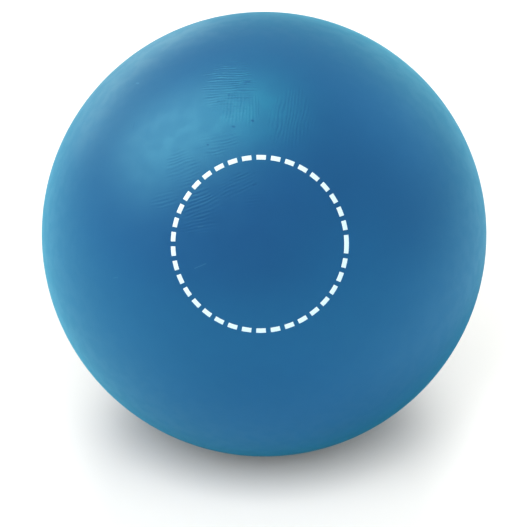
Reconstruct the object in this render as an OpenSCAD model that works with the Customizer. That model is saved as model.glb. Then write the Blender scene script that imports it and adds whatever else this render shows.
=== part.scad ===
// Croquet ball with a pressed core, two moulded shells and a printed ring.
// The shells meet at the parting plane in a spin-weld joint: a tapered tongue on the
// front shell stands in a groove in the rear shell, with flash traps at the groove's
// mouth and below the tongue, and a fine V is left at the outside.
// The origin is the centre of the ball, and +Z is up.

/* [Ball] */
// Outside diameter of the ball
ball_d = 92; // [80:0.5:110]
// How far the printed front looks up from level, in degrees
front_tilt = 27; // [0:1:60]

/* [Shells] */
// Wall thickness of the moulded shells
shell_wall = 9; // [7.5:0.5:14]
// Depth of the fine V at the parting line
seam_vee = 0.15; // [0.05:0.05:0.4]

/* [Weld joint] */
// Wall left between the outside of the ball and the tongue
tongue_inset = 3; // [2:0.1:4]
// Width of the tongue at its root
tongue_w = 2.6; // [1.8:0.1:3]
// Height of the tongue below the parting plane
tongue_h = 3.6; // [2:0.2:6]
// Draft on each flank of the tongue, in degrees
tongue_draft = 4; // [1:0.5:8]
// Clearance between the tongue's flank and the groove's
weld_clearance = 0.08; // [0.02:0.02:0.2]
// Width and depth of the flash trap at each edge of the groove's mouth
mouth_trap = 0.5; // [0.2:0.1:0.8]
// Depth of the flash trap below the tongue's end
floor_trap = 0.6; // [0.2:0.1:1.2]

/* [Core] */
// Room for the bond between the core and the shells
bond_gap = 0.1; // [0.04:0.02:0.3]

/* [Printed ring] */
// Diameter of the ring at the middle of its stroke
ring_d = 34; // [20:0.2:50]
// Width of the printed stroke
stroke_w = 0.9; // [0.4:0.02:2]
// Length of one dash
dash_len = 1.86; // [1:0.02:4]
// Room wanted between two dashes, before they are spread evenly
dash_room = 1; // [0.4:0.1:2]
// Length of the dash that closes the ring
closing_dash_len = 3.62; // [2:0.02:6]
// Thickness of the printed film
ink_t = 0.1; // [0.04:0.02:0.2]

/* [Hidden] */
$fn = 128;

SHELL_BLUE = [0.14, 0.43, 0.68];
CORE_BROWN = [0.55, 0.38, 0.24];
INK_WHITE = [0.96, 0.97, 0.97];

ball_r = ball_d / 2;
cavity_r = ball_r - shell_wall;
tongue_outer_r = ball_r - tongue_inset;
tongue_inner_r = tongue_outer_r - tongue_w;
ring_r = ring_d / 2;
film_r = ball_r + ink_t;

// Angle that an arc of the ring takes at the ring's own axis
function ring_angle(arc_len) = arc_len / ring_r * 180 / PI;

dash_angle = ring_angle(dash_len);
closing_angle = ring_angle(closing_dash_len);
dash_count = round((360 - closing_angle) / ring_angle(dash_len + dash_room));
gap_angle = (360 - closing_angle - dash_count * dash_angle) / (dash_count + 1);

// Turns an upright piece so that its +Z end is the printed front
module facing_front() {
    rotate([90 - front_tilt, 0, 0])
        children();
}

// Half section of one shell above the parting plane, with its corner of the V
module shell_section() {
    difference() {
        intersection() {
            circle(r = ball_r);
            square(ball_d);
        }
        circle(r = cavity_r);
        translate([ball_r, 0])
            rotate(45)
                square(seam_vee * sqrt(2), center = true);
    }
}

// Half section of the tongue, grown by a clearance on its flanks and at its end
module tongue_section(flank = 0, end = 0) {
    depth = tongue_h + end;
    taper = depth * tan(tongue_draft);
    polygon([
        [tongue_inner_r - flank, 0],
        [tongue_outer_r + flank, 0],
        [tongue_outer_r + flank - taper, -depth],
        [tongue_inner_r - flank + taper, -depth]
    ]);
}

// Half section of the groove, with its mouth opened into the two flash traps
module groove_section() {
    tongue_section(weld_clearance, floor_trap);
    polygon([
        [tongue_inner_r - mouth_trap, 0],
        [tongue_outer_r + mouth_trap, 0],
        [tongue_outer_r, -mouth_trap],
        [tongue_inner_r, -mouth_trap]
    ]);
}

// Half section of the printed film
module film_section() {
    intersection() {
        difference() {
            circle(r = film_r);
            circle(r = ball_r);
        }
        translate([ring_r - stroke_w / 2, 0])
            square([stroke_w, film_r]);
    }
}

// One dash that starts at an angle round the ring
module dash(start_angle, span_angle) {
    rotate(start_angle)
        rotate_extrude(angle = span_angle)
            film_section();
}

module core() {
    color(CORE_BROWN)
        facing_front()
            sphere(r = cavity_r - bond_gap);
}

module front_shell() {
    color(SHELL_BLUE)
        facing_front() {
            rotate_extrude()
                shell_section();
            rotate_extrude()
                tongue_section();
        }
}

module rear_shell() {
    color(SHELL_BLUE)
        facing_front()
            rotate_extrude()
                difference() {
                    mirror([0, 1])
                        shell_section();
                    groove_section();
                }
}

module print_ring() {
    color(INK_WHITE)
        facing_front() {
            dash(-closing_angle / 2, closing_angle);
            for (i = [0 : dash_count - 1])
                dash(closing_angle / 2 + gap_angle + i * (dash_angle + gap_angle), dash_angle);
        }
}

core();
front_shell();
rear_shell();
print_ring();
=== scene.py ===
import math
from functools import partial, partialmethod
from typing import NamedTuple

import bmesh
import bpy
import numpy as np
from bpy.props import FloatProperty, FloatVectorProperty, IntProperty, PointerProperty
from mathutils import Matrix, Vector


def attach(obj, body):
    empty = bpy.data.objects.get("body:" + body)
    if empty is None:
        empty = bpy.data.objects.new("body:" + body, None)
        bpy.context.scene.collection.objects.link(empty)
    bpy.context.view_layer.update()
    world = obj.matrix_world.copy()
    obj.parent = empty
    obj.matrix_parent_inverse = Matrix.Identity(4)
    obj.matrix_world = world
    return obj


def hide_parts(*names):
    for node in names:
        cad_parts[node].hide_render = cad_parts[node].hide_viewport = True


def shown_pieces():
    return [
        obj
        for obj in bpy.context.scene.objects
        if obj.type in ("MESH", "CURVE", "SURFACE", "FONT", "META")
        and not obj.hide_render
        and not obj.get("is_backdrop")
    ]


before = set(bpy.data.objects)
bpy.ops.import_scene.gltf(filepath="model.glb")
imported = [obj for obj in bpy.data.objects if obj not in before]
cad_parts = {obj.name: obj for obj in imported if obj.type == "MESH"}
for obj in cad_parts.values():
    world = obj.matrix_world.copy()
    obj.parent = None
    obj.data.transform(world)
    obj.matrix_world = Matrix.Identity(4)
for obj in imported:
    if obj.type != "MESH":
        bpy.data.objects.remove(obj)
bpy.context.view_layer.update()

bl_info = {
    "name": "Croquet ball",
    "version": (1, 0, 0),
    "blender": (4, 5, 0),
    "location": "3D View > Sidebar > Croquet ball",
    "description": "Dresses the packed croquet ball and sets a white studio round it",
    "category": "Object",
}

MM = 0.001
ON_SPHERE = 2e-6  # how close a packed vertex lies to the sphere that it belongs to
SAME_ROW = 5 * ON_SPHERE  # how close two rows of a section lie that are one
MERGE_REACH = 1e-6  # how close two vertices lie that are one
LEVEL_ONLY = (1.0, 1.0, 0.0)  # takes the height out of a vector

# The picture's frame, and where the ball stands in it, in pixels
PICTURE_SIDE = 527
BALL_CENTRE_PX = (264.1, 234.2)
BALL_RADIUS_PX = 222.4

# Names that two places share
RING_NAME = "dashed_ring"
CREASE_NOTE = "crease"  # each point's creased height, which the skin's material reads

# How finely the pieces are divided
REAR_POINTS = 121
SPIN_SEGMENTS = 192
CAVITY_CELLS = 28  # from a cavity's rim to its pole
DASH_POINTS, CLOSING_POINTS, STROKE_POINTS = 13, 25, 7
CORE_LEVEL = 6
FLOOR_SEGMENTS = 96
GRANULE_JOINT = 0.14  # half width of the joint between two granules, in granule sizes

# Edges that are sharper than these stay crisp
SHELL_CORNER = math.radians(25)
INK_CORNER = math.radians(40)

# The edge of a printed dash
INK_SHOULDER = 0.14 * MM  # width over which the film thins out
INK_EDGE_SHARE = 0.45  # share of the film's thickness that is left at the edge
INK_BITE = 0.03 * MM  # how far the ink reaches into the skin


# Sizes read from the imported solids

def solid_points(node):
    """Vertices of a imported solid, one row each, in metres."""
    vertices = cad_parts[node].data.vertices
    flat = np.empty(len(vertices) * 3, np.float32)
    vertices.foreach_get("co", flat)
    return flat.reshape(-1, 3).astype(float)


def facing_of(points):
    """Direction that a flat ring of points on the ball faces."""
    normal = np.linalg.svd(points - points.mean(0), full_matrices=False)[2][2]
    return normal if normal @ points.mean(0) > 0 else -normal


def rim_section(node, axis):
    """Half section of a shell's rim, and the height of the dome's lip above the parting plane.

    The section's rows of radius and height run from the foot of the V inwards to the cavity.
    """
    points = solid_points(node)
    height = points @ axis
    radius = np.linalg.norm(points - np.outer(height, axis), axis=1)
    reach = np.hypot(radius, height)
    between = (reach < BALL_R - ON_SPHERE) & (reach > CAVITY_R + ON_SPHERE)
    rows = []
    for row in sorted(zip(radius[between], height[between]), reverse=True):
        if not rows or math.dist(row, rows[-1]) > SAME_ROW:
            rows.append(row)
    rows.append((CAVITY_R, 0.0))
    lip = height[reach > BALL_R - ON_SPHERE].min()
    return rows, lip


def islands(node):
    """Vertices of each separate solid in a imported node, as lists of points."""
    shape = bmesh.new()
    shape.from_mesh(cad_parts[node].data)
    bmesh.ops.remove_doubles(shape, verts=shape.verts[:], dist=MERGE_REACH)
    waiting = set(shape.verts)
    found = []
    while waiting:
        front = [waiting.pop()]
        points = []
        while front:
            vertex = front.pop()
            points.append(vertex.co.copy())
            near = {edge.other_vert(vertex) for edge in vertex.link_edges} & waiting
            waiting -= near
            front.extend(near)
        found.append(points)
    shape.free()
    return found


def dash_spans(axis):
    """Middle angle and width of each dash round the ring, in radians from the ring's right."""
    right = Vector((1.0, 0.0, 0.0))
    up = Vector(axis).cross(right)
    spans = []
    for points in islands("print_ring"):
        middle = sum(points, Vector()) / len(points)
        turn = math.atan2(middle @ up, middle @ right)
        ahead = math.cos(turn) * right + math.sin(turn) * up
        aside = math.cos(turn) * up - math.sin(turn) * right
        off = [math.atan2(point @ aside, point @ ahead) for point in points]
        spans.append((turn + (max(off) + min(off)) / 2, max(off) - min(off)))
    return spans


SHELL_REACH = np.linalg.norm(solid_points("front_shell"), axis=1)
BALL_R = SHELL_REACH.max()
CAVITY_R = SHELL_REACH.min()
CORE_R = np.linalg.norm(solid_points("core"), axis=1).max()
RING_POINTS = solid_points("print_ring")
FRONT_AXIS = facing_of(RING_POINTS)
FILM_R = np.linalg.norm(RING_POINTS, axis=1).max()
RING_REACH = np.linalg.norm(np.cross(RING_POINTS, FRONT_AXIS), axis=1)
RING_R = (RING_REACH.max() + RING_REACH.min()) / 2
STROKE_W = RING_REACH.max() - RING_REACH.min()
DASHES = dash_spans(FRONT_AXIS)


def tilt_of(axis):
    """Turn about X that brings an upright piece's top to this axis."""
    return math.atan2(-axis[1], axis[2])


def on_front(right_mm, up_mm):
    """Point of the skin that lies so far right and up of the ring's middle, along the skin."""
    polar = math.hypot(right_mm, up_mm) * MM / BALL_R
    side = math.atan2(up_mm, right_mm)
    upright = Vector((
        math.sin(polar) * math.cos(side),
        math.sin(polar) * math.sin(side),
        math.cos(polar),
    ))
    return Matrix.Rotation(tilt_of(FRONT_AXIS), 3, "X") @ upright * BALL_R


# What the skin shows on its front: creases, specks and scratches

class CreasePatch(NamedTuple):
    """One patch of fine parallel creases. Places and sizes are in millimetres along the skin."""
    name: str
    right: float
    up: float
    lean: float  # degrees that the creases rise to the right
    along: float  # half size along the creases
    across: float  # half size across them
    spacing: float
    depth: float  # times the skin's crease depth


CREASES = (
    CreasePatch("upper level", -7.0, 34.3, 1, 6.2, 8.2, 0.66, 1.3),
    CreasePatch("upper left upright", -5.6, 28.4, 88, 4.4, 3.2, 0.7, 0.5),
    CreasePatch("upper middle upright", -1.6, 28.4, 92, 4.4, 1.8, 0.7, 0.5),
    CreasePatch("upper right upright", 6.7, 26.3, 81, 8.0, 5.2, 0.74, 0.4),
    CreasePatch("above the ring", -8.5, 20.3, 12, 4.6, 2.6, 0.68, 0.5),
    CreasePatch("outside left", -16.1, 15.2, 17, 3.8, 4.6, 0.7, 0.5),
    CreasePatch("outside lower left", -19.4, 8.9, 12, 3.6, 2.2, 0.7, 0.45),
    CreasePatch("inside left", -11.6, 7.6, 22, 4.4, 3.4, 0.72, 0.85),
    CreasePatch("inside lower left", -12.0, 3.8, 8, 4.2, 2.2, 0.72, 0.6),
    CreasePatch("inside top", -4.6, 11.8, 27, 4.6, 2.6, 0.7, 0.6),
    CreasePatch("inside middle", -0.6, 8.5, 3, 2.6, 1.8, 0.66, 0.4),
    CreasePatch("outer left", -24.0, 43.7, 2, 4.2, 1.8, 0.7, 0.3),
)
CREASE_SEED_STEP = 13.7  # from one patch's noise to the next one's


class CreaseNoise(NamedTuple):
    """A slow noise over a patch: its sizes in millimetres and the shift of its seed."""
    along: float
    across: float
    shift: float


SWAY = CreaseNoise(5.5, 2.6, 0.0)
SWAY_REACH = 11.0  # radians of a crease's wave that the sway spans
BREAKS = CreaseNoise(3.6, 1.1, 7.3)
BREAK_DEPTH = 0.25  # share of the depth that is left where a crease breaks off
FRAYING = CreaseNoise(2.4, 1.3, 3.1)
FRAYING_REACH = 0.9  # share of a patch's half size that its frayed edge spans
PATCH_FADE = (1.1, 0.55)  # shares of the half size where a patch starts and is full


class Mark(NamedTuple):
    """One speck or scratch on the skin, in millimetres along it."""
    start: tuple
    end: tuple
    half_width: float
    strength: float


DARK_MARKS = (
    Mark((-1.7, 25.4), (-1.5, 25.3), 0.24, 0.9),
    Mark((-5.7, 24.1), (-5.3, 24.0), 0.18, 0.7),
    Mark((-10.8, 20.2), (-10.6, 20.2), 0.16, 0.9),
    Mark((-1.3, 11.7), (-0.7, 11.9), 0.14, 0.6),
    Mark((-28.7, 25.2), (-28.5, 26.6), 0.13, 0.3),
)
LIGHT_MARKS = (
    Mark((-30.7, 38.2), (-30.0, 37.9), 0.2, 0.2),
    Mark((-12.2, 3.4), (-11.2, 3.6), 0.12, 0.06),
    Mark((-12.9, -4.8), (-10.6, -3.8), 0.1, 0.12),
    Mark((-31.7, -7.8), (-30.7, -7.6), 0.14, 0.06),
)


# Node trees

class Web:
    """A node tree that is being wired.

    Feeds are sockets or plain values, in the order of a node's inputs.
    """

    def __init__(self, tree):
        self.tree = tree

    def node(self, kind, *feeds, **settings):
        made = self.tree.nodes.new(kind)
        for key, value in settings.items():
            setattr(made, key, value)
        sockets = [s for s in made.inputs if not s.is_unavailable]
        for socket, feed in zip(sockets, feeds):
            self.feed(socket, feed)
        return made

    def feed(self, socket, feed):
        if isinstance(feed, bpy.types.NodeSocket):
            self.tree.links.new(feed, socket)
        else:
            socket.default_value = feed

    def out(self, kind, *feeds, pick=0, **settings):
        """One output of a new node."""
        made = self.node(kind, *feeds, **settings)
        return [s for s in made.outputs if not s.is_unavailable][pick]

    def math(self, operation, *feeds):
        return self.out("ShaderNodeMath", *feeds, operation=operation)

    plus = partialmethod(math, "ADD")
    minus = partialmethod(math, "SUBTRACT")
    times = partialmethod(math, "MULTIPLY")
    over = partialmethod(math, "DIVIDE")

    def vector(self, operation, *feeds):
        return self.out("ShaderNodeVectorMath", *feeds, operation=operation)

    def whole(self, operation, *feeds):
        return self.out("FunctionNodeIntegerMath", *feeds, operation=operation)

    def moved(self, mesh, spot, which=True):
        return self.out("GeometryNodeSetPosition", mesh, which, spot)

    def scaled(self, vector, factor):
        made = self.node("ShaderNodeVectorMath", vector, operation="SCALE")
        self.feed(made.inputs["Scale"], factor)
        return made.outputs["Vector"]

    def join_xyz(self, x=0.0, y=0.0, z=0.0):
        return self.out("ShaderNodeCombineXYZ", x, y, z)

    def round_z(self, radius, turn, height):
        """Place at a radius and a turn round Z, and at a height."""
        right = self.times(radius, self.math("COSINE", turn))
        return self.join_xyz(right, self.times(radius, self.math("SINE", turn)), height)

    def split_xyz(self, vector):
        return self.node("ShaderNodeSeparateXYZ", vector).outputs

    def ramp(self, value, low, high, to_low=0.0, to_high=1.0):
        """Smooth step of a value between two levels."""
        feeds = (value, low, high, to_low, to_high)
        return self.out("ShaderNodeMapRange", *feeds, interpolation_type="SMOOTHSTEP")

    def noise(self, vector, scale, detail=2.0, roughness=0.5):
        return self.out("ShaderNodeTexNoise", vector, scale, detail, roughness)

    def swing(self, noise, reach):
        """Makes a noise round 0.5 swing round 0."""
        return self.times(self.minus(noise, 0.5), reach)

    def mix_colour(self, factor, first, second):
        made = self.node("ShaderNodeMix", data_type="RGBA")
        feeds = {"Factor_Float": factor, "A_Color": first, "B_Color": second}
        for socket in made.inputs:
            if socket.identifier in feeds:
                self.feed(socket, feeds[socket.identifier])
        return next(s for s in made.outputs if s.identifier == "Result_Color")

    def place(self, group, **feeds):
        """A node group, fed by its inputs' names with _ for a space."""
        in_geometry = self.tree.bl_idname == "GeometryNodeTree"
        made = self.node("GeometryNodeGroup" if in_geometry else "ShaderNodeGroup", node_tree=group)
        for name, feed in feeds.items():
            self.feed(made.inputs[name.replace("_", " ").capitalize()], feed)
        return made.outputs


SOCKETS = {
    "length": ("NodeSocketFloat", "DISTANCE"),
    "angle": ("NodeSocketFloat", "ANGLE"),
    "factor": ("NodeSocketFloat", "FACTOR"),
    "number": ("NodeSocketFloat", "NONE"),
    "count": ("NodeSocketInt", "NONE"),
    "vector": ("NodeSocketVector", "NONE"),
    "mesh": ("NodeSocketGeometry", None),
    "material": ("NodeSocketMaterial", None),
}


def new_group(name, inputs, outputs, kind="GeometryNodeTree"):
    """An empty node group with sockets of these sorts, its web, its inputs and its outputs."""
    tree = bpy.data.node_groups.new(name, kind)
    for in_out, wanted in (("INPUT", inputs), ("OUTPUT", outputs)):
        for sort, labels in wanted.items():
            socket_type, subtype = SOCKETS[sort]
            for label in labels.split(", "):
                socket = tree.interface.new_socket(label, in_out=in_out, socket_type=socket_type)
                if subtype:
                    socket.subtype = subtype
    given = tree.nodes.new("NodeGroupInput").outputs
    result = tree.nodes.new("NodeGroupOutput").inputs
    return tree, Web(tree), given, result


def joined(web, parts):
    """Parts as one geometry."""
    made = web.node("GeometryNodeJoinGeometry")
    for part in parts:
        web.feed(made.inputs[0], part)
    return made.outputs[0]


def turned(web, mesh, **angles):
    """A mesh that is turned by these angles about its axes."""
    made = web.node("GeometryNodeTransform", mesh)
    web.feed(made.inputs["Rotation"], web.join_xyz(**angles))
    return made.outputs[0]


def smooth_faces(web, mesh):
    """A mesh with smooth shading all over."""
    return web.out("GeometryNodeSetShadeSmooth", mesh, True, True, domain="FACE")


def crisp_edges(web, mesh, corner):
    """A mesh with smooth shading, apart from the edges that are sharper than a corner's angle."""
    sharp = web.math("GREATER_THAN", web.out("GeometryNodeInputMeshEdgeAngle"), corner)
    smooth = smooth_faces(web, mesh)
    return web.out("GeometryNodeSetShadeSmooth", smooth, sharp, False, domain="EDGE")


def crowded_axis_group():
    """Grid axis from -1 to 1 that gives one window of it a large share of the points."""
    tree, web, given, result = new_group(
        "Crowded axis",
        {"number": "Along, Window start, Window end", "factor": "Share"},
        {"number": "Along"},
    )
    window = web.minus(given["Window end"], given["Window start"])
    share = web.times(given["Share"], 2.0)
    thin = web.over(web.minus(2.0, window), web.minus(2.0, share))
    dense = web.over(window, share)
    entry = web.over(web.plus(given["Window start"], 1.0), thin)
    travel = web.plus(given["Along"], 1.0)
    past = web.math("MAXIMUM", web.minus(travel, entry), 0.0)
    inside = web.math("MINIMUM", past, share)
    extra = web.times(inside, web.minus(dense, thin))
    reach = web.plus(web.times(travel, thin), extra)
    web.feed(result["Along"], web.minus(reach, 1.0))
    return tree


def crease_group():
    """Height of one patch of fine parallel creases, about -1 to 1, at a place along the skin."""
    tree, web, given, result = new_group(
        "Crease patch",
        {"vector": "Place, Centre", "angle": "Lean",
         "number": "Half along, Half across, Spacing, Seed"},
        {"number": "Height"},
    )
    levelled = web.node(
        "ShaderNodeVectorRotate", given["Place"], given["Centre"],
        rotation_type="Z_AXIS", invert=True,
    )
    web.feed(levelled.inputs["Angle"], given["Lean"])
    off = web.vector("SUBTRACT", levelled.outputs[0], given["Centre"])
    along, across, _ = web.split_xyz(off)

    def drift(noise):
        spot = web.join_xyz(
            web.over(along, noise.along), web.over(across, noise.across),
            web.plus(given["Seed"], noise.shift),
        )
        return web.noise(spot, scale=1.0, detail=1.0)

    turns = web.times(web.over(across, given["Spacing"]), math.tau)
    wave = web.math("SINE", web.plus(turns, web.swing(drift(SWAY), SWAY_REACH)))
    broken = web.ramp(drift(BREAKS), 0.3, 0.6, to_low=BREAK_DEPTH)
    share_along = web.over(along, given["Half along"])
    share_across = web.over(across, given["Half across"])
    reach = web.vector("LENGTH", web.join_xyz(share_along, share_across))
    frayed = web.plus(reach, web.swing(drift(FRAYING), FRAYING_REACH))
    patch = web.ramp(frayed, *PATCH_FADE)
    web.feed(result["Height"], web.times(web.times(wave, broken), patch))
    return tree


def crease_height(web, spot, creases):
    """Height of all creases together at a spot in millimetres along the skin."""
    group = crease_group()
    height = 0.0
    for number, patch in enumerate(creases, 1):
        one = web.place(
            group, place=spot, centre=(patch.right, patch.up, 0.0), lean=math.radians(patch.lean),
            half_along=patch.along, half_across=patch.across, spacing=patch.spacing,
            seed=CREASE_SEED_STEP * number,
        )["Height"]
        height = web.plus(height, web.times(one, patch.depth))
    return height


def dome_shape(web, given, creases):
    """Smooth outer dome of a shell, its pole up, with any creases in it."""
    crowded = crowded_axis_group()
    across = given["Points across"]
    grid = web.out("GeometryNodeMeshGrid", 2.0, 2.0, across, across)
    x, y, _ = web.split_xyz(web.out("GeometryNodeInputPosition"))
    u = web.place(
        crowded, along=x, window_start=given["Window left"], window_end=given["Window right"],
        share=given["Window share"],
    )[0]
    v = web.place(
        crowded, along=y, window_start=given["Window low"], window_end=given["Window top"],
        share=given["Window share"],
    )[0]

    def rounded(first, second):
        half_square = web.times(web.times(second, second), 0.5)
        shrink = web.math("SQRT", web.minus(1.0, half_square))
        return web.times(first, shrink)

    ball_radius = given["Ball radius"]
    disc = web.join_xyz(rounded(u, v), rounded(v, u))
    lip_polar = web.math("ARCCOSINE", web.over(given["Lip height"], ball_radius))
    flat = web.scaled(disc, lip_polar)
    polar = web.vector("LENGTH", flat)
    level = web.scaled(web.vector("NORMALIZE", flat), web.math("SINE", polar))
    ray = web.vector("ADD", level, web.join_xyz(z=web.math("COSINE", polar)))
    if not creases:
        return web.moved(grid, web.scaled(ray, ball_radius))
    spot = web.scaled(flat, web.over(ball_radius, MM))
    height = crease_height(web, spot, creases)
    noted = web.out(
        "GeometryNodeStoreNamedAttribute", grid, True, CREASE_NOTE, height,
        data_type="FLOAT", domain="POINT",
    )
    reach = web.plus(ball_radius, web.times(height, given["Crease depth"]))
    return web.moved(noted, web.scaled(ray, reach))


def shell_tree(name, creases):
    """Tree that makes one moulded shell from the half section of its rim and cavity."""
    tree, web, given, result = new_group(
        name,
        {"mesh": "Section",
         "length": "Ball radius, Lip height, Foot radius, Joint radius, Crease depth",
         "count": "Section points, Spin segments, Points across",
         "number": "Window left, Window right, Window low, Window top", "factor": "Window share",
         "angle": "Tilt", "material": "Material"},
        {"mesh": "Shell"},
    )
    dome = dome_shape(web, given, creases)

    # The V at the parting line, from the dome's edge to the foot in the parting plane
    edge_faces = web.out("GeometryNodeInputMeshEdgeNeighbors")
    open_edge = web.out("FunctionNodeCompare", edge_faces, 1, data_type="INT", operation="EQUAL")
    vee = web.node("GeometryNodeExtrudeMesh", dome, open_edge, mode="EDGES")
    web.feed(vee.inputs["Offset Scale"], 0.0)
    here = web.out("GeometryNodeInputPosition")
    outwards = web.vector("NORMALIZE", web.vector("MULTIPLY", here, LEVEL_ONLY))
    foot_spot = web.scaled(outwards, given["Foot radius"])
    dome = web.moved(vee.outputs["Mesh"], foot_spot, vee.outputs["Top"])

    # The flat land between the V and the joint
    foot = web.out("GeometryNodeMeshToCurve", dome, vee.outputs["Top"])
    segments = given["Spin segments"]
    joint = web.out("GeometryNodeCurvePrimitiveCircle", segments, given["Joint radius"])
    land = web.out("GeometryNodeFillCurve", joined(web, (foot, joint)))

    # The joint and the cavity, spun from the half section
    points = given["Section points"]
    net = web.out("GeometryNodeMeshGrid", 1.0, 1.0, web.whole("ADD", segments, 1), points)
    index = web.out("GeometryNodeInputIndex")
    row = web.whole("MODULO", index, points)
    column = web.whole("DIVIDE_FLOOR", index, points)
    sampled = web.out(
        "GeometryNodeSampleIndex", given["Section"], web.out("GeometryNodeInputPosition"), row,
        data_type="FLOAT_VECTOR", domain="POINT",
    )
    radius, _, height = web.split_xyz(sampled)
    turn = web.times(web.over(column, segments), math.tau)
    net = web.moved(net, web.round_z(radius, turn, height))

    whole = joined(web, (dome, land, net))
    closed = web.out("GeometryNodeMergeByDistance", whole, True, MERGE_REACH)
    tilted = turned(web, crisp_edges(web, closed, SHELL_CORNER), x=given["Tilt"])
    real = web.out("GeometryNodeRealizeInstances", tilted)
    web.feed(result["Shell"], web.out("GeometryNodeSetMaterial", real, True, given["Material"]))
    return tree


def dash_group():
    """One printed dash of ink in the middle of the ring's right side, closed all round."""
    tree, web, given, result = new_group(
        "Ink dash",
        {"angle": "Span", "count": "Points along",
         "length": "Ring radius, Stroke, Ball radius, Film radius"},
        {"mesh": "Dash"},
    )
    slab = web.out("GeometryNodeMeshCube", (1.0, 1.0, 1.0), given["Points along"], STROKE_POINTS, 2)
    x, y, z = web.split_xyz(web.out("GeometryNodeInputPosition"))

    def from_edge(place, size):
        return web.times(web.minus(0.5, web.math("ABSOLUTE", place)), size)

    film = web.minus(given["Film radius"], given["Ball radius"])
    top = web.math("GREATER_THAN", z, 0.0)
    length = web.times(given["Span"], given["Ring radius"])
    inset = web.math("MINIMUM", from_edge(y, given["Stroke"]), from_edge(x, length))
    shoulder = web.ramp(inset, 0.0, INK_SHOULDER, to_low=INK_EDGE_SHARE)
    lift = web.times(web.times(film, shoulder), top)
    sink = web.times(web.minus(top, 1.0), INK_BITE)
    reach = web.plus(web.plus(given["Ball radius"], lift), sink)
    turn = web.times(x, given["Span"])
    radius = web.plus(given["Ring radius"], web.times(y, given["Stroke"]))
    height = web.math("SQRT", web.minus(web.times(reach, reach), web.times(radius, radius)))
    spot = web.round_z(radius, turn, height)
    web.feed(result["Dash"], web.moved(slab, spot))
    return tree


def ring_tree():
    """Tree that prints the dashes round the ring, and the longer dash that closes it."""
    tree, web, given, result = new_group(
        "Printed ring",
        {"length": "Ball radius, Film radius, Ring radius, Stroke",
         "angle": "Dash span, First dash, Pitch, Closing span, Closing middle, Tilt",
         "count": "Dash count", "material": "Material"},
        {"mesh": "Ring"},
    )
    dash = dash_group()
    shared = dict(
        ring_radius=given["Ring radius"], stroke=given["Stroke"],
        ball_radius=given["Ball radius"], film_radius=given["Film radius"],
    )
    short = web.place(dash, span=given["Dash span"], points_along=DASH_POINTS, **shared)[0]
    long = web.place(dash, span=given["Closing span"], points_along=CLOSING_POINTS, **shared)[0]
    index = web.out("GeometryNodeInputIndex")
    turn = web.plus(given["First dash"], web.times(index, given["Pitch"]))
    marks = web.out("GeometryNodePoints", given["Dash count"], (0.0, 0.0, 0.0), 0.0)
    placed = web.node("GeometryNodeInstanceOnPoints", marks, True, short)
    about_z = web.out("FunctionNodeAxisAngleToRotation", (0.0, 0.0, 1.0), turn)
    web.feed(placed.inputs["Rotation"], about_z)
    closing = turned(web, long, z=given["Closing middle"])
    whole = joined(web, (placed.outputs[0], closing))
    real = web.out("GeometryNodeRealizeInstances", turned(web, whole, x=given["Tilt"]))
    crisp = crisp_edges(web, real, INK_CORNER)
    web.feed(result["Ring"], web.out("GeometryNodeSetMaterial", crisp, True, given["Material"]))
    return tree


def core_tree():
    """Tree that presses a ball of granules, with the joints between the granules sunk into it."""
    tree, web, given, result = new_group(
        "Pressed core",
        {"length": "Core radius, Granule size, Joint depth", "material": "Material"},
        {"mesh": "Core"},
    )
    ball = web.out("GeometryNodeMeshIcoSphere", given["Core radius"], CORE_LEVEL)
    here = web.out("GeometryNodeInputPosition")
    fine = web.over(1.0, given["Granule size"])
    edge = web.out("ShaderNodeTexVoronoi", here, fine, feature="DISTANCE_TO_EDGE")
    sunk = web.times(web.ramp(edge, GRANULE_JOINT, 0.0), given["Joint depth"])
    reach = web.minus(given["Core radius"], sunk)
    spot = web.scaled(web.vector("NORMALIZE", here), reach)
    pressed = web.moved(ball, spot)
    real = web.out("GeometryNodeRealizeInstances", smooth_faces(web, pressed))
    web.feed(result["Core"], web.out("GeometryNodeSetMaterial", real, True, given["Material"]))
    return tree


def grown(name, start, tree, sizes):
    """A plain mesh object that a node tree grows from a start mesh, its faces turned outwards."""
    piece = bpy.data.objects.new(name, start)
    bpy.context.scene.collection.objects.link(piece)
    modifier = piece.modifiers.new(tree.name, "NODES")
    modifier.node_group = tree
    sockets = {
        item.name: item.identifier
        for item in tree.interface.items_tree
        if item.item_type == "SOCKET" and item.in_out == "INPUT"
    }
    for label, value in sizes.items():
        modifier[sockets[label]] = value
    depsgraph = bpy.context.evaluated_depsgraph_get()
    mesh = bpy.data.meshes.new_from_object(
        piece.evaluated_get(depsgraph), preserve_all_data_layers=True, depsgraph=depsgraph,
    )
    piece.modifiers.remove(modifier)
    piece.data = mesh
    mesh.name = name
    mesh.materials.pop(index=0)  # the empty slot of a new primitive
    shape = bmesh.new()
    shape.from_mesh(mesh)
    if not shape.faces:
        raise RuntimeError(f"{name} came out of its tree with no faces")
    bmesh.ops.recalc_face_normals(shape, faces=shape.faces[:])
    loose = sum(1 for edge in shape.edges if not edge.is_manifold)
    shape.to_mesh(mesh)
    shape.free()
    if loose:
        raise RuntimeError(f"{name} has {loose} open edges")
    return piece


def settle(piece, node):
    """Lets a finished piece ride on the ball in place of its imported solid."""
    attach(piece, "root")
    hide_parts(node)


# Materials

# The specks' colour, which also serves as the painted shade at the foot of the creases
SPECK_AND_CREASE_SHADE_COLOUR = (0.006, 0.022, 0.17, 1.0)
SCRATCH_COLOUR = (0.2, 0.5, 0.7, 1.0)
SEAM_DARK_COLOUR = (0.01, 0.03, 0.05, 1.0)
GRANULE_JOINT_COLOUR = (0.03, 0.018, 0.012, 1.0)
UNLIT = (0.0, 0.0, 0.0, 1.0)
WHITE = (1.0, 1.0, 1.0, 1.0)

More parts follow.
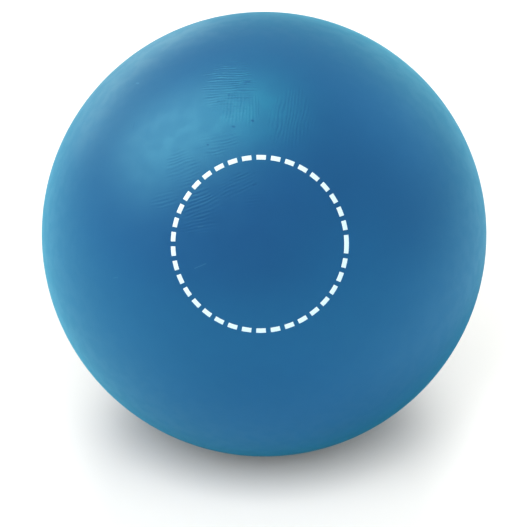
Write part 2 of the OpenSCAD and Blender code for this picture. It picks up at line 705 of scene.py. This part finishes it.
CREASE_SHADE = 0.2  # how far the foot of a crease takes the specks' colour, as painted shade in the crease
SEAM_DARKENING = 0.45  # how far the skin darkens at the parting line
SEAM_DARK_REACH = (0.3 * MM, 0.05 * MM)  # where the darkening starts and is full, from the parting plane
DULLNESS = 0.3  # what the darker parting line and the specks add to the roughness
RUBBER_FROM = (0.6, 0.66)  # granules whose number lies above this are rubber
PLASTIC_IOR = 1.52

# The floor's shaded spot below the ball, in ball radii
SPOT_CENTRE = (0.4, 0.5, 0.0)
SPOT_REACH = (0.8, 1.8)
SPOT_LIGHT = 0.15  # share of the floor's bounce that the middle of the spot keeps


def opaque(colour):
    """A colour with full cover."""
    return (*colour, 1.0)


def drift_group():
    """Slow change of tone over a surface, from 0 to 1."""
    tree, web, given, result = new_group(
        "Tone drift",
        {"vector": "Place", "length": "Patch size", "number": "Contrast"},
        {"factor": "Tone"},
        kind="ShaderNodeTree",
    )
    scale = web.over(1.0, given["Patch size"])
    cloud = web.noise(given["Place"], scale, detail=3.0, roughness=0.55)
    tone = web.plus(web.swing(cloud, given["Contrast"]), 0.5)
    web.feed(result["Tone"], web.out("ShaderNodeClamp", tone, 0.0, 1.0))
    return tree


def grain_group():
    """Fine grain of a moulded or printed surface."""
    tree, web, given, result = new_group(
        "Surface grain",
        {"vector": "Place", "length": "Grain size"},
        {"number": "Height", "factor": "Gloss"},
        kind="ShaderNodeTree",
    )
    scale = web.over(1.0, given["Grain size"])
    pebble = web.noise(given["Place"], scale, roughness=0.45)
    coarse = web.noise(given["Place"], web.times(scale, 0.17))
    height = web.plus(web.times(pebble, 0.6), web.times(coarse, 0.4))
    web.feed(result["Height"], height)
    web.feed(result["Gloss"], web.ramp(coarse, 0.3, 0.7))
    return tree


def mark_group():
    """Mask of one speck or scratch between two points of the surface."""
    tree, web, given, result = new_group(
        "Skin mark",
        {"vector": "Place, Start, End", "length": "Half width"},
        {"factor": "Mask"},
        kind="ShaderNodeTree",
    )
    way = web.vector("SUBTRACT", given["End"], given["Start"])
    off = web.vector("SUBTRACT", given["Place"], given["Start"])
    share = web.over(web.vector("DOT_PRODUCT", off, way), web.vector("DOT_PRODUCT", way, way))
    near = web.scaled(way, web.out("ShaderNodeClamp", share, 0.0, 1.0))
    gap = web.vector("LENGTH", web.vector("SUBTRACT", off, near))
    web.feed(result["Mask"], web.ramp(web.over(gap, given["Half width"]), 1.4, 0.3))
    return tree


def shared_group(name, maker):
    """A shader group that is built once and then placed in each material."""
    return bpy.data.node_groups.get(name) or maker()


def new_material(name):
    """A new material, its web, its shader's inputs and the object coordinates."""
    material = bpy.data.materials.new(name)
    material.use_nodes = True
    web = Web(material.node_tree)
    shader = material.node_tree.nodes["Principled BSDF"]
    place = web.node("ShaderNodeTexCoord").outputs["Object"]
    return material, web, shader.inputs, place


def toned(web, place, patch_size, contrast):
    """Slow change of tone at a place, from 0 to 1."""
    group = shared_group("Tone drift", drift_group)
    return web.place(group, place=place, patch_size=patch_size, contrast=contrast)["Tone"]


def grained(web, shader, place, grain_size, strength, depth):
    """Bumps a shader with fine grain, and gives the grain's gloss from 0 to 1."""
    group = shared_group("Surface grain", grain_group)
    grain = web.place(group, place=place, grain_size=grain_size)
    bump = web.node("ShaderNodeBump", strength, depth)
    web.feed(bump.inputs["Height"], grain["Height"])
    web.feed(shader["Normal"], bump.outputs[0])
    return grain["Gloss"]


def uneven(web, gloss, middle, spread):
    """Roughness that changes with the grain's gloss."""
    return web.ramp(gloss, 0.0, 1.0, middle - spread, middle + spread)


def marks_mask(web, place, marks):
    """Mask of a set of specks and scratches."""
    group = shared_group("Skin mark", mark_group)
    mask = 0.0
    for mark in marks:
        one = web.place(
            group, place=place, start=on_front(*mark.start), end=on_front(*mark.end),
            half_width=mark.half_width * MM,
        )["Mask"]
        mask = web.math("MAXIMUM", mask, web.times(one, mark.strength))
    return mask


def blue_skin(look):
    """Blue moulded plastic with a satin skin, and painted shade at the foot of its creases."""
    material, web, shader, place = new_material("blue_skin")
    tone = toned(web, place, look.patch_size, contrast=1.6)
    gloss = grained(web, shader, place, look.grain_size, look.grain_strength, depth=0.02 * MM)
    crease = web.out("ShaderNodeAttribute", attribute_name=CREASE_NOTE, pick=2)
    # Painted shade: the foot of each crease is darkened towards the specks' colour
    sunk = web.ramp(crease, -0.1, -0.9, to_high=CREASE_SHADE)
    specks = marks_mask(web, place, DARK_MARKS)
    scratches = marks_mask(web, place, LIGHT_MARKS)
    # The skin is darker along the parting line between the two shells
    seam = web.math("ABSOLUTE", web.vector("DOT_PRODUCT", place, tuple(FRONT_AXIS)))
    seam_dark = web.ramp(seam, *SEAM_DARK_REACH, to_high=SEAM_DARKENING)
    colour = web.mix_colour(tone, opaque(look.deep_colour), opaque(look.pale_colour))
    colour = web.mix_colour(web.math("MAXIMUM", specks, sunk), colour, SPECK_AND_CREASE_SHADE_COLOUR)
    colour = web.mix_colour(scratches, colour, SCRATCH_COLOUR)
    web.feed(shader["Base Color"], web.mix_colour(seam_dark, colour, SEAM_DARK_COLOUR))
    dull = web.times(web.math("MAXIMUM", seam_dark, specks), DULLNESS)
    rough = uneven(web, gloss, look.roughness, spread=0.03)
    web.feed(shader["Roughness"], web.plus(rough, dull))
    shader["IOR"].default_value = PLASTIC_IOR
    shader["Specular IOR Level"].default_value = 1.0
    shader["Specular Tint"].default_value = opaque(look.gloss_tint)
    shader["Sheen Weight"].default_value = look.sheen
    shader["Sheen Tint"].default_value = opaque(look.sheen_tint)
    shader["Sheen Roughness"].default_value = 0.55
    return material


def white_ink(look):
    """White printing ink with a faint screen grain."""
    material, web, shader, place = new_material("dash_ink")
    tone = toned(web, place, patch_size=4 * MM, contrast=1.4)
    gloss = grained(web, shader, place, grain_size=0.25 * MM, strength=0.15, depth=0.01 * MM)
    colour = web.mix_colour(tone, opaque(look.thin_colour), opaque(look.colour))
    web.feed(shader["Base Color"], colour)
    web.feed(shader["Roughness"], uneven(web, gloss, look.roughness, spread=0.04))
    return material


def granule_mix(look):
    """Cork and dark rubber granules pressed into one body."""
    material, web, shader, place = new_material("granule_mix")
    fine = 1.0 / look.granule_size
    number = web.split_xyz(web.out("ShaderNodeTexVoronoi", place, fine, pick=1))[0]
    edge = web.out("ShaderNodeTexVoronoi", place, fine, feature="DISTANCE_TO_EDGE")
    tone = toned(web, place, patch_size=1.2 * MM, contrast=2.0)
    gloss = grained(web, shader, place, grain_size=0.5 * MM, strength=0.5, depth=0.1 * MM)
    pale_cork = [c * 1.5 for c in look.cork_colour]
    cork = web.mix_colour(tone, opaque(look.cork_colour), opaque(pale_cork))
    colour = web.mix_colour(web.ramp(number, *RUBBER_FROM), cork, opaque(look.rubber_colour))
    joint = web.ramp(edge, 0.12, 0.02, to_high=0.8)
    web.feed(shader["Base Color"], web.mix_colour(joint, colour, GRANULE_JOINT_COLOUR))
    web.feed(shader["Roughness"], uneven(web, gloss, 0.85, spread=0.07))
    return material


def pale_floor(look):
    """Matt floor that looks pale, and throws a weaker and bluer light on the ball, with a painted
    shadow in that light round the ball's foot.
    """
    material, web, shader, place = new_material("pale_floor")
    tone = toned(web, place, patch_size=0.2, contrast=0.6)
    deeper = [c * 0.99 for c in look.floor_colour]
    seen = web.mix_colour(tone, opaque(deeper), opaque(look.floor_colour))
    # Painted shadow: the light that the floor throws on the ball is darkened round the ball's foot
    middle = tuple(share * BALL_R for share in SPOT_CENTRE)
    away = web.vector("DISTANCE", web.vector("MULTIPLY", place, LEVEL_ONLY), middle)
    unshadowed = web.ramp(away, *(share * BALL_R for share in SPOT_REACH), to_low=SPOT_LIGHT)
    thrown = web.mix_colour(unshadowed, UNLIT, opaque(look.floor_bounce))
    straight = web.node("ShaderNodeLightPath").outputs["Is Camera Ray"]
    web.feed(shader["Base Color"], web.mix_colour(straight, thrown, seen))
    shader["Roughness"].default_value = 0.9
    shader["Specular IOR Level"].default_value = 0.0
    return material


# What a user may change

Colour = partial(FloatVectorProperty, subtype="COLOR", min=0, max=1)
Share = partial(FloatProperty, subtype="FACTOR", max=1)
Length = partial(FloatProperty, unit="LENGTH")
Angle = partial(FloatProperty, subtype="ANGLE")


class SkinLook(bpy.types.PropertyGroup):
    """The shells' skin."""
    deep_colour: Colour(
        name="Deep blue", description="Darker tone of the skin", default=(0.0095, 0.053, 0.214),
    )
    pale_colour: Colour(
        name="Pale blue", description="Lighter tone of the skin", default=(0.0107, 0.06, 0.236),
    )
    roughness: Share(
        name="Roughness", description="Mean roughness of the satin skin", min=0.1, default=0.43,
    )
    gloss_tint: Colour(
        name="Gloss tint", description="Tint of the skin's gloss where it is seen straight on",
        default=(0.24, 0.97, 1.0),
    )
    sheen: Share(
        name="Sheen", description="Weight of the soft sheen on the skin", min=0, default=0.45,
    )
    sheen_tint: Colour(
        name="Sheen tint", description="Colour of the soft sheen", default=(0.07, 0.75, 0.78),
    )
    patch_size: Length(
        name="Tone patch", description="Size of a patch of one tone", default=22 * MM,
    )
    grain_size: Length(name="Grain size", description="Size of the moulded grain", default=0.5 * MM)
    grain_strength: Share(
        name="Grain strength", description="How strongly the grain shows", min=0, default=0.1,
    )
    crease_depth: Length(
        name="Crease depth", description="Depth to each side of a crease of full depth",
        precision=5, default=0.03 * MM,
    )
    front_points: IntProperty(
        name="Front points", description="Points across the front dome's mesh", min=20, max=300,
        default=290,
    )


class InkLook(bpy.types.PropertyGroup):
    """The printed ring."""
    colour: Colour(name="Ink", description="Colour of the full ink", default=(0.86, 0.94, 0.94))
    thin_colour: Colour(
        name="Thin ink", description="Colour where the ink is thinner", default=(0.82, 0.91, 0.92),
    )
    roughness: Share(
        name="Roughness", description="Mean roughness of the ink", min=0.1, default=0.5,
    )


class CoreLook(bpy.types.PropertyGroup):
    """The pressed core."""
    cork_colour: Colour(
        name="Cork", description="Colour of the cork granules", default=(0.26, 0.14, 0.07),
    )
    rubber_colour: Colour(
        name="Rubber", description="Colour of the rubber granules", default=(0.03, 0.025, 0.022),
    )
    granule_size: Length(name="Granule size", description="Size of one granule", default=3.2 * MM)
    joint_depth: Length(
        name="Joint depth", description="Depth of the joints between granules", default=0.25 * MM,
    )


class StudioLook(bpy.types.PropertyGroup):
    """The floor, the light and the camera."""
    floor_colour: Colour(
        name="Floor", description="Colour of the floor", default=(0.935, 0.93, 0.885),
    )
    floor_bounce: Colour(
        name="Floor bounce", description="Colour of the light that the floor throws on the ball",
        default=(0.45, 0.69, 0.825),
    )
    floor_size: Length(name="Floor size", description="Radius of the floor", default=4.0)
    light_strength: FloatProperty(
        name="Light", description="Strength of all softboxes together", min=0, default=1.0,
    )
    room_light: FloatProperty(
        name="Room light", description="Strength of the white room's own light", min=0,
        default=0.45,
    )
    camera_reach: FloatProperty(
        name="Camera distance", description="Distance of the camera in ball radii", min=3,
        default=17.0,
    )
    camera_height: Angle(
        name="Camera height", description="How far the camera stands above the ball's level",
        default=math.radians(29.58),
    )
    camera_side: Angle(
        name="Camera side", description="How far the camera stands to the right",
        default=math.radians(1.305),
    )
    camera_roll: Angle(
        name="Camera roll", description="How far the camera is rolled to the right",
        default=math.radians(0.55),
    )


class BallSettings(bpy.types.PropertyGroup):
    """All settings of the ball."""
    skin: PointerProperty(type=SkinLook, name="Skin", description="The shells' skin")
    ink: PointerProperty(type=InkLook, name="Ink", description="The printed ring")
    core: PointerProperty(type=CoreLook, name="Core", description="The pressed core")
    studio: PointerProperty(
        type=StudioLook, name="Studio", description="The floor, the light and the camera",
    )


# Pieces

# Window of a dome, from -1 to 1 each way, and the share of the dome's points that it takes
CREASED_WINDOW = {
    "Window left": -0.35, "Window right": 0.18, "Window low": 0.03, "Window top": 0.6,
    "Window share": 0.79,
}
EVEN_WINDOW = {
    "Window left": -0.5, "Window right": 0.5, "Window low": -0.5, "Window top": 0.5,
    "Window share": 0.5,
}


def half_section(rows):
    """Points along a shell's joint and then its cavity to the pole, as a mesh, and their count."""
    steps = [math.pi / 2 * i / CAVITY_CELLS for i in range(1, CAVITY_CELLS)]
    cavity = [(CAVITY_R * math.cos(step), CAVITY_R * math.sin(step)) for step in steps]
    rows = [*rows[1:], *cavity, (0.0, CAVITY_R)]
    mesh = bpy.data.meshes.new("half_section")
    edges = [(i, i + 1) for i in range(len(rows) - 1)]
    mesh.from_pydata([(r, 0.0, z) for r, z in rows], edges, [])
    return mesh, len(rows)


def make_shell(name, node, axis, material, points, window, creases=(), crease_depth=0.0):
    """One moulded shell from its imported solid's rim."""
    rows, lip = rim_section(node, axis)
    section, count = half_section(rows)
    shell = grown(name, section, shell_tree(name.replace("_", " "), creases), {
        "Ball radius": BALL_R, "Lip height": lip, "Foot radius": rows[0][0],
        "Joint radius": rows[1][0], "Section points": count, "Spin segments": SPIN_SEGMENTS,
        "Points across": points, "Crease depth": crease_depth, "Tilt": tilt_of(axis),
        "Material": material, **window,
    })
    settle(shell, node)


class MakeShells(bpy.types.Operator):
    """Makes the two blue shells with their weld joint, and the fine creases in the front one"""
    bl_idname = "croquet_ball.shells"
    bl_label = "Shells"

    def execute(self, context):
        look = context.scene.croquet_ball.skin
        skin = blue_skin(look)
        make_shell(
            "blue_front_shell", "front_shell", FRONT_AXIS, skin, look.front_points,
            CREASED_WINDOW, CREASES, look.crease_depth,
        )
        make_shell(
            "blue_rear_shell", "rear_shell", -FRONT_AXIS, skin, REAR_POINTS, EVEN_WINDOW,
        )
        return {"FINISHED"}


class PrintRing(bpy.types.Operator):
    """Prints the white ring of dashes on the front shell"""
    bl_idname = "croquet_ball.ring"
    bl_label = "Printed ring"

    def execute(self, context):
        *dashes, (closing_middle, closing_span) = sorted(DASHES, key=lambda dash: dash[1])
        middles = sorted((middle - closing_middle) % math.tau for middle, _ in dashes)
        pitch = (middles[-1] - middles[0]) / (len(middles) - 1)
        ring = grown(RING_NAME, bpy.data.meshes.new("dashes"), ring_tree(), {
            "Ball radius": BALL_R, "Film radius": FILM_R, "Ring radius": RING_R,
            "Stroke": STROKE_W, "Dash span": dashes[len(dashes) // 2][1],
            "Dash count": len(dashes), "First dash": closing_middle + middles[0], "Pitch": pitch,
            "Closing span": closing_span, "Closing middle": closing_middle,
            "Tilt": tilt_of(FRONT_AXIS), "Material": white_ink(context.scene.croquet_ball.ink),
        })
        settle(ring, "print_ring")
        return {"FINISHED"}


class PressCore(bpy.types.Operator):
    """Presses the core of cork and rubber granules"""
    bl_idname = "croquet_ball.core"
    bl_label = "Pressed core"

    def execute(self, context):
        look = context.scene.croquet_ball.core
        core = grown("pressed_core", bpy.data.meshes.new("granules"), core_tree(), {
            "Core radius": CORE_R, "Granule size": look.granule_size,
            "Joint depth": look.joint_depth, "Material": granule_mix(look),
        })
        settle(core, "core")
        return {"FINISHED"}


# The studio

class Softbox(NamedTuple):
    """A soft studio light that looks at the ball. It lights the ball, its print or the floor."""
    name: str
    lights: str
    side: float  # degrees round the ball from the front, positive to the right
    height: float  # degrees above the ball's level
    reach: float  # distance from the ball in metres
    width: float
    length: float
    power: float
    tint: tuple = (1.0, 1.0, 1.0)


SOFTBOXES = (
    Softbox("key_wide", "ball", -92, 52, 1.2, 0.95, 1.25, 10.8),
    Softbox("key_spot", "ball", -97, 49, 1.2, 0.4, 0.5, 1.0),
    Softbox("overhead", "ball", -150, 83, 1.2, 0.6, 0.6, 3.1, (0.3, 1.0, 0.95)),
    Softbox("back_left", "ball", -150, 2, 1.2, 0.9, 0.45, 2.7, (0.8, 1.0, 0.92)),
    Softbox("front_right", "ball", 45, 10, 1.2, 1.1, 0.9, 1.9, (0.2, 0.65, 1.0)),
    Softbox("side_right", "ball", 118, 30, 1.2, 0.9, 0.9, 2.4, (0.25, 0.5, 1.0)),
    Softbox("back_right", "ball", 150, 8, 1.2, 0.7, 0.5, 0.9, (0.4, 0.9, 0.95)),
    Softbox("print_fill", "print", 12, 2, 1.2, 0.9, 0.6, 7.0, (1.0, 0.9, 0.84)),
    Softbox("floor_front_left", "floor", -24, 43, 1.5, 0.65, 1.4, 15.9),
    Softbox("floor_front_right", "floor", 24, 43, 1.5, 0.65, 1.4, 12.3),
    Softbox("floor_back", "floor", 180, 50, 1.5, 0.9, 0.9, 12.0),
)


def seen_from(side, height):
    """Direction from the ball to something that stands so far round and up."""
    return Vector((
        math.sin(side) * math.cos(height),
        -math.cos(side) * math.cos(height),
        math.sin(height),
    ))


def lit_group(name, members):
    """Collection of the objects that one kind of light reaches."""
    group = bpy.data.collections.new(name)
    for member in members:
        group.objects.link(member)
    return group


def add_softbox(box, strength, reached):
    """One soft light that faces the ball and reaches only these objects."""
    lamp = bpy.data.lights.new(box.name, "AREA")
    lamp.shape = "RECTANGLE"
    lamp.size, lamp.size_y = box.width, box.length
    lamp.energy = box.power * strength
    lamp.color = box.tint
    stand = bpy.data.objects.new(box.name, lamp)
    way = seen_from(math.radians(box.side), math.radians(box.height))
    faced = way.to_track_quat("Z", "Y").to_matrix().to_4x4()
    stand.matrix_world = Matrix.Translation(way * box.reach) @ faced
    stand.visible_camera = False
    stand.light_linking.receiver_collection = reached
    bpy.context.scene.collection.objects.link(stand)


def add_floor(look):
    """Round floor that the ball rests on and that takes the ball's shadow."""
    mesh = bpy.data.meshes.new("floor")
    shape = bmesh.new()
    bmesh.ops.create_circle(
        shape, cap_ends=True, radius=look.floor_size, segments=FLOOR_SEGMENTS,
    )
    bmesh.ops.translate(shape, verts=shape.verts[:], vec=(0.0, 0.0, -BALL_R))
    shape.to_mesh(mesh)
    shape.free()
    floor = bpy.data.objects.new("floor", mesh)
    mesh.materials.append(pale_floor(look))
    bpy.context.scene.collection.objects.link(floor)
    floor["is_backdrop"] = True
    return floor


def add_surroundings(look):
    """White room that shows as white and gives less light of its own."""
    world = bpy.data.worlds.new("white_room")
    world.use_nodes = True
    web = Web(world.node_tree)
    background = world.node_tree.nodes["Background"].inputs
    straight = web.node("ShaderNodeLightPath").outputs["Is Camera Ray"]
    web.feed(background["Color"], WHITE)
    web.feed(background["Strength"], web.math("MAXIMUM", straight, look.room_light))
    bpy.context.scene.world = world


def add_camera(look):
    """Camera whose picture holds the ball where the reference has it."""
    camera = bpy.data.cameras.new("camera")
    focal_px = BALL_RADIUS_PX * math.sqrt(look.camera_reach ** 2 - 1)
    camera.sensor_width = 36.0
    camera.lens = camera.sensor_width * focal_px / PICTURE_SIDE
    camera.clip_start, camera.clip_end = 0.01, 50.0
    stand = bpy.data.objects.new("camera", camera)
    way = seen_from(look.camera_side, look.camera_height)
    middle = PICTURE_SIDE / 2
    pan = math.atan2(BALL_CENTRE_PX[0] - middle, focal_px)
    nod = math.atan2(BALL_CENTRE_PX[1] - middle, focal_px)
    faced = way.to_track_quat("Z", "Y").to_matrix()
    rolled = faced @ Matrix.Rotation(-look.camera_roll, 3, "Z")
    aim = rolled @ Matrix.Rotation(pan, 3, "Y") @ Matrix.Rotation(nod, 3, "X")
    stand.matrix_world = Matrix.Translation(way * look.camera_reach * BALL_R) @ aim.to_4x4()
    bpy.context.scene.collection.objects.link(stand)
    bpy.context.scene.camera = stand


class SetStudio(bpy.types.Operator):
    """Sets the floor, the soft lights and the camera"""
    bl_idname = "croquet_ball.studio"
    bl_label = "Studio"

    def execute(self, context):
        look = context.scene.croquet_ball.studio
        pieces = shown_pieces()
        reached = {
            "ball": lit_group("lit_ball", pieces),
            "print": lit_group("lit_print", [p for p in pieces if p.name == RING_NAME]),
            "floor": lit_group("lit_floor", [add_floor(look)]),
        }
        for box in SOFTBOXES:
            add_softbox(box, look.light_strength, reached[box.lights])
        add_surroundings(look)
        add_camera(look)
        context.scene.view_settings.view_transform = "Standard"
        context.scene.view_settings.look = "None"
        return {"FINISHED"}


class BallPanel(bpy.types.Panel):
    """Lists the ball's pieces and their settings"""
    bl_idname = "VIEW3D_PT_croquet_ball"
    bl_label = "Croquet ball"
    bl_space_type = "VIEW_3D"
    bl_region_type = "UI"
    bl_category = "Croquet ball"

    def draw(self, context):
        settings = context.scene.croquet_ball
        groups = (
            (MakeShells, settings.skin), (PrintRing, settings.ink), (PressCore, settings.core),
            (SetStudio, settings.studio),
        )
        for maker, look in groups:
            box = self.layout.box()
            box.operator(maker.bl_idname)
            for key in look.bl_rna.properties.keys():
                if key not in ("rna_type", "name"):
                    box.prop(look, key)


CLASSES = (
    SkinLook, InkLook, CoreLook, StudioLook, BallSettings,
    MakeShells, PrintRing, PressCore, SetStudio, BallPanel,
)


def register():
    for cls in CLASSES:
        bpy.utils.register_class(cls)
    bpy.types.Scene.croquet_ball = PointerProperty(type=BallSettings)


def unregister():
    del bpy.types.Scene.croquet_ball
    for cls in reversed(CLASSES):
        bpy.utils.unregister_class(cls)


def main():
    register()
    bpy.ops.croquet_ball.core()
    bpy.ops.croquet_ball.shells()
    bpy.ops.croquet_ball.ring()
    bpy.ops.croquet_ball.studio()


if __name__ == "__main__":
    main()
